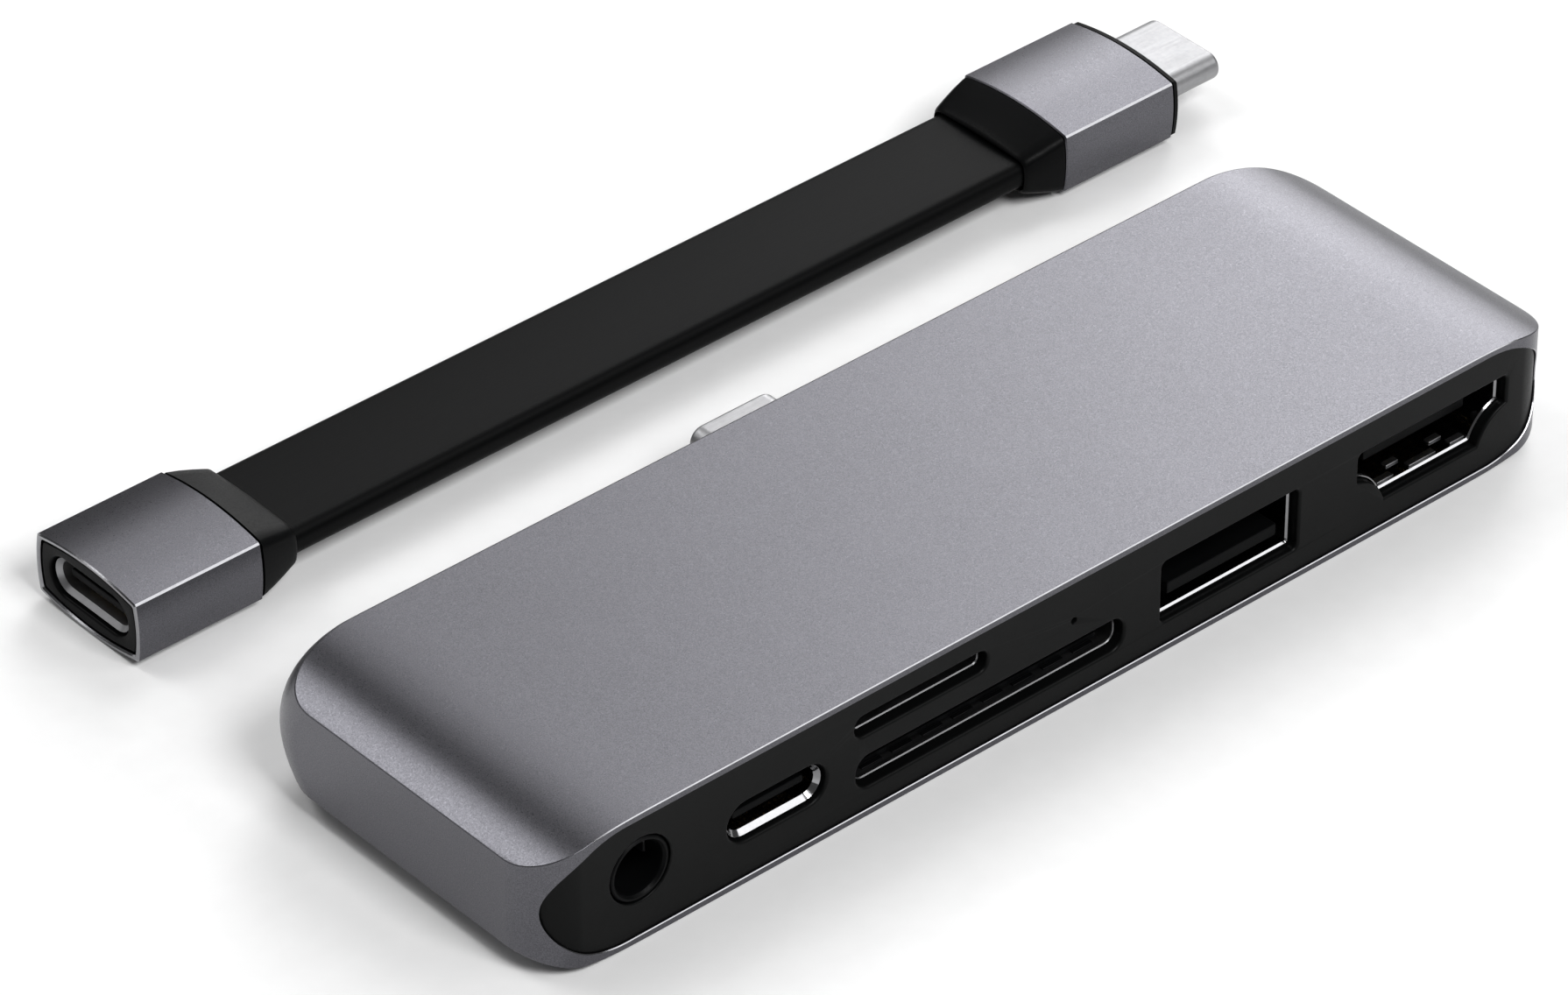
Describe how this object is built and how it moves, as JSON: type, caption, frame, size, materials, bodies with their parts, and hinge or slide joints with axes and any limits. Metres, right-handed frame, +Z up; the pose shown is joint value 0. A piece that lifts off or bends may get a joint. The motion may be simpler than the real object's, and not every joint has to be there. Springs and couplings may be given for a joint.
{
  "type": "usb hub",
  "caption": "Slim aluminium USB hub with a row of ports along its front, a USB-C plug at the back, and a short flat extension lead beside it.",
  "frame": {"origin": "middle of the hub's flat underside, on the surface that the hub rests on", "axes": "+X along the hub from the audio jack to the HDMI port, +Y from the ports to the hub's own plug, +Z up"},
  "size_m": [0.1121, 0.0599, 0.0114],
  "materials": {
    "aluminium": "space grey anodised aluminium, fine bead-blast grain, bright cut edge",
    "panel": "satin near-black moulded plastic",
    "black_plastic": "satin black moulded plastic",
    "cable_jacket": "satin black extruded jacket",
    "bright_steel": "bright nickel-plated steel",
    "board_resin": "green solder mask over glass fibre board",
    "chip_resin": "matt black moulding resin",
    "ferrite": "matt grey ferrite and resin",
    "thermal_silicone": "soft grey-blue silicone pad",
    "clear_plastic": "clear moulded plastic"
  },
  "bodies": {
    "hub": {"hub_shell": "aluminium", "front_panel": "panel", "rear_plug_collar": "black_plastic", "hub_plug_shell": "bright_steel", "hub_plug_insert": "black_plastic", "main_board": "board_resin", "hub_controller_chip": "chip_resin", "video_converter_chip": "chip_resin", "card_reader_chip": "chip_resin", "power_control_chip": "chip_resin", "clock_crystal": "bright_steel", "power_inductor": "ferrite", "power_capacitor": "ferrite", "thermal_pad": "thermal_silicone", "board_tray": "black_plastic", "usb_a_shell": "bright_steel", "usb_a_tongue": "black_plastic", "hdmi_shell": "bright_steel", "hdmi_tongue": "black_plastic", "usb_c_socket_shell": "bright_steel", "usb_c_socket_tongue": "black_plastic", "sd_socket_cover": "bright_steel", "sd_socket_base": "black_plastic", "microsd_socket_cover": "bright_steel", "microsd_socket_base": "black_plastic", "audio_jack_ring": "black_plastic", "audio_jack_body": "black_plastic", "light_pipe": "clear_plastic", "status_led": "clear_plastic"},
    "lead_socket_end": {"lead_socket_sleeve": "aluminium", "lead_socket_face": "black_plastic", "lead_socket_shell": "bright_steel", "lead_socket_tongue": "black_plastic", "lead_socket_board": "board_resin", "lead_socket_boot": "black_plastic", "lead_cable": "cable_jacket"},
    "lead_plug_end": {"lead_plug_boot": "black_plastic", "lead_plug_sleeve": "aluminium", "lead_plug_end_cap": "black_plastic", "lead_plug_shell": "bright_steel", "lead_plug_insert": "black_plastic", "lead_plug_board": "board_resin"}
  },
  "joints": [
    {"name": "lead_draw_away", "type": "slide", "parent": "hub", "child": "lead_socket_end", "axis": [0, 1, 0], "range_m": [0, 0.06]},
    {"name": "lead_flex", "type": "hinge", "parent": "lead_socket_end", "child": "lead_plug_end", "pos_m": [0.00337, 0.0384, 0.00325], "axis": [0, -1, 0], "range_deg": [-60, 60], "stiffness_Nm_per_rad": 0.02, "deforming": ["lead_cable"]}
  ]
}
